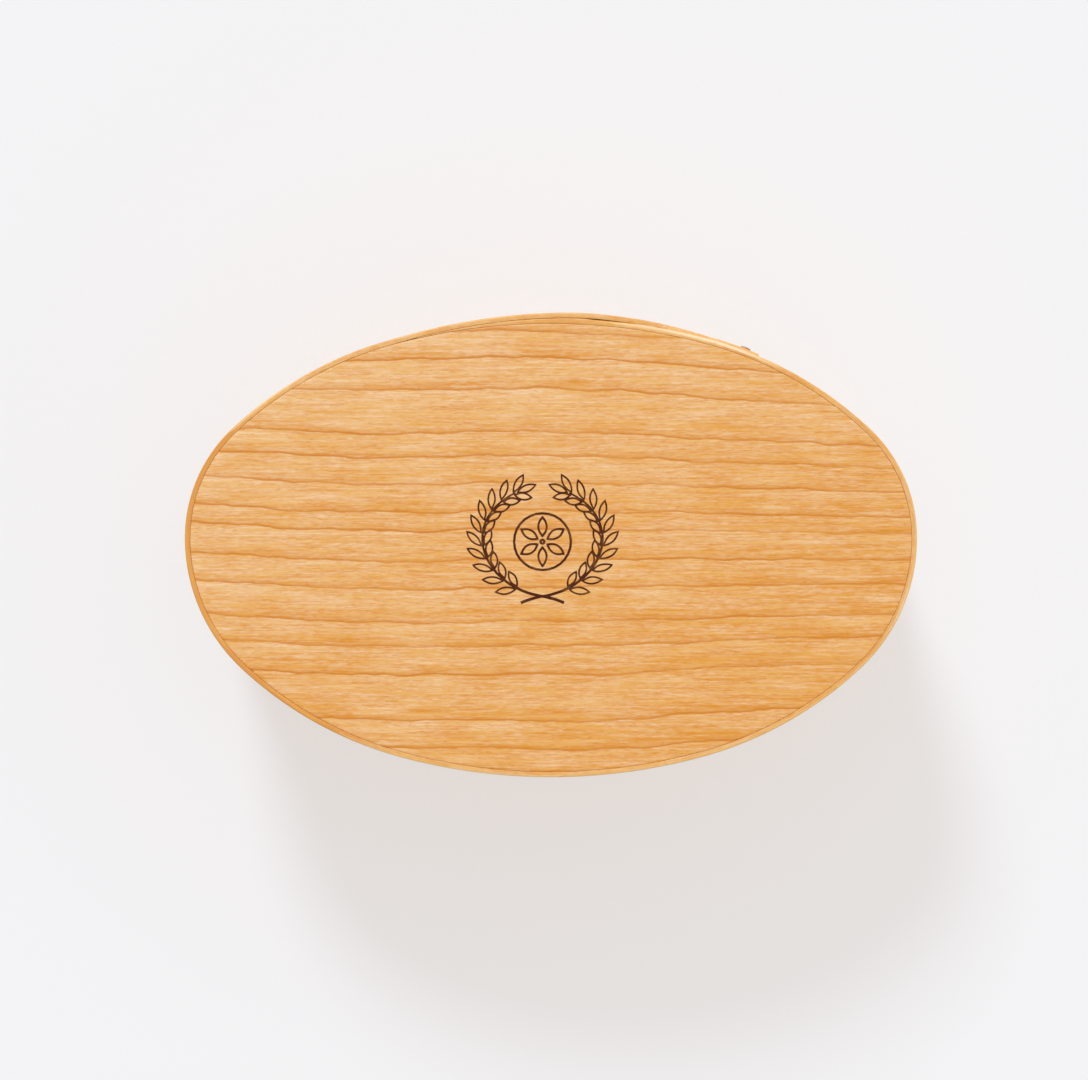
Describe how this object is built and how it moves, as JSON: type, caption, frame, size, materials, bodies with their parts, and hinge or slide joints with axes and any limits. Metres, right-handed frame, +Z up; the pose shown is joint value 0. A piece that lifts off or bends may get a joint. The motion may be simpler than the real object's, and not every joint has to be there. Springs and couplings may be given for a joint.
{
  "type": "oval bentwood box with lid",
  "caption": "Oval box of thin bent wood with swallowtail fingers fixed by copper tacks, pegged solid boards and a lift-off lid.",
  "frame": {"origin": "on the flat underside, below the middle of the lid's oval", "axes": "+Z up, the way the lid lifts off; +X along the oval's length; the fingers are on the -Y side and point to -X"},
  "size_m": [0.1806, 0.1147, 0.071],
  "materials": {
    "lid_board_wood": "oiled cherry",
    "lid_band_wood": "oiled cherry",
    "box_board_wood": "oiled cherry",
    "box_band_wood": "oiled cherry",
    "peg_wood": "end grain",
    "copper": "hammered, slightly tarnished copper"
  },
  "bodies": {
    "box": {"box_band": "box_band_wood", "box_board": "box_board_wood", "box_finger_tip_tacks": "copper", "box_finger_base_tacks": "copper", "box_lap_row_tacks": "copper", "box_board_pegs": "peg_wood"},
    "lid": {"lid_band": "lid_band_wood", "lid_board": "lid_board_wood", "lid_finger_tip_tacks": "copper", "lid_finger_base_tacks": "copper", "lid_lap_row_tacks": "copper", "lid_board_pegs": "peg_wood"}
  },
  "joints": [
    {"name": "lid_lift", "type": "slide", "parent": "box", "child": "lid", "axis": [0, 0, 1], "range_m": [0, 0.06]}
  ]
}
